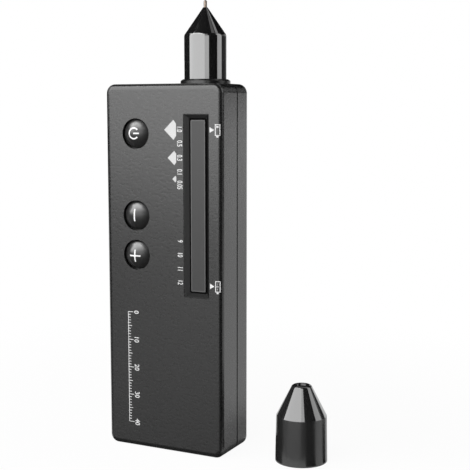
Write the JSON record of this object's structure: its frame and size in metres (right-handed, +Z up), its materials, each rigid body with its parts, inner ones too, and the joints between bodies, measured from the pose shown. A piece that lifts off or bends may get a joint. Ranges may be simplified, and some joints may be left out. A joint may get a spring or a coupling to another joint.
{
  "type": "gemstone tester",
  "caption": "Hand-held gemstone tester: flat case with push buttons and a sunk lamp window, conical tip with a sprung copper probe pin, and a pull-off cap standing beside it.",
  "frame": {"origin": "middle of the case's lower end, on the surface that it stands on", "axes": "+X to the right of the face, -Y out of the face, +Z up along the case to the tip"},
  "size_m": [0.0791, 0.0235, 0.1573],
  "materials": {
    "case_plastic": "satin, fine spark texture",
    "gloss_plastic": "polished black",
    "button_plastic": "soft gloss black",
    "trim_plastic": "satin black",
    "window_plastic": "smoked satin",
    "inner_plastic": "moulded black",
    "white_plastic": "moulded off-white",
    "board_laminate": "solder mask",
    "copper": "bare copper",
    "steel": "plated",
    "ceramic_bead": "fired",
    "cell_foil": "pouch foil",
    "foam": "foam tape"
  },
  "bodies": {
    "case": {"front_shell": "case_plastic", "rear_shell": "case_plastic", "tip_shell": "gloss_plastic", "window_frame": "trim_plastic", "tip_base": "trim_plastic", "window_lens": "window_plastic", "switch_bodies": "inner_plastic", "controller_chip": "inner_plastic", "charger_chip": "inner_plastic", "buzzer": "inner_plastic", "usb_tongue": "inner_plastic", "lamp_baffle": "white_plastic", "lamps": "white_plastic", "battery_header": "white_plastic", "probe_header": "white_plastic", "main_board": "board_laminate", "power_coil": "copper", "battery_leads": "copper", "probe_leads": "copper", "case_screws": "steel", "board_screws": "steel", "usb_shell": "steel", "probe_spring": "steel", "battery_cell": "cell_foil", "battery_pad": "foam"},
    "power_key": {"power_button": "button_plastic", "power_plunger": "white_plastic"},
    "minus_key": {"minus_button": "button_plastic", "minus_plunger": "white_plastic"},
    "plus_key": {"plus_button": "button_plastic", "plus_plunger": "white_plastic"},
    "probe": {"probe_pin": "copper", "probe_carrier": "white_plastic", "probe_heater": "ceramic_bead", "probe_thermistor": "ceramic_bead"},
    "cap": {"tip_cap": "gloss_plastic"}
  },
  "joints": [
    {"name": "power_press", "type": "slide", "parent": "case", "child": "power_key", "axis": [0, 1, 0], "range_m": [0, 0.0004], "stiffness_N_per_m": 500, "springref_m": -0.0006},
    {"name": "minus_press", "type": "slide", "parent": "case", "child": "minus_key", "axis": [0, 1, 0], "range_m": [0, 0.0004], "stiffness_N_per_m": 500, "springref_m": -0.0006},
    {"name": "plus_press", "type": "slide", "parent": "case", "child": "plus_key", "axis": [0, 1, 0], "range_m": [0, 0.0004], "stiffness_N_per_m": 500, "springref_m": -0.0006},
    {"name": "probe_press", "type": "slide", "parent": "case", "child": "probe", "axis": [0, 0, -1], "range_m": [0, 0.001], "stiffness_N_per_m": 400, "springref_m": -0.001, "deforming": ["probe_spring"]},
    {"name": "cap_lift", "type": "slide", "parent": "case", "child": "cap", "axis": [0, 0, 1], "range_m": [0, 0.16]}
  ]
}
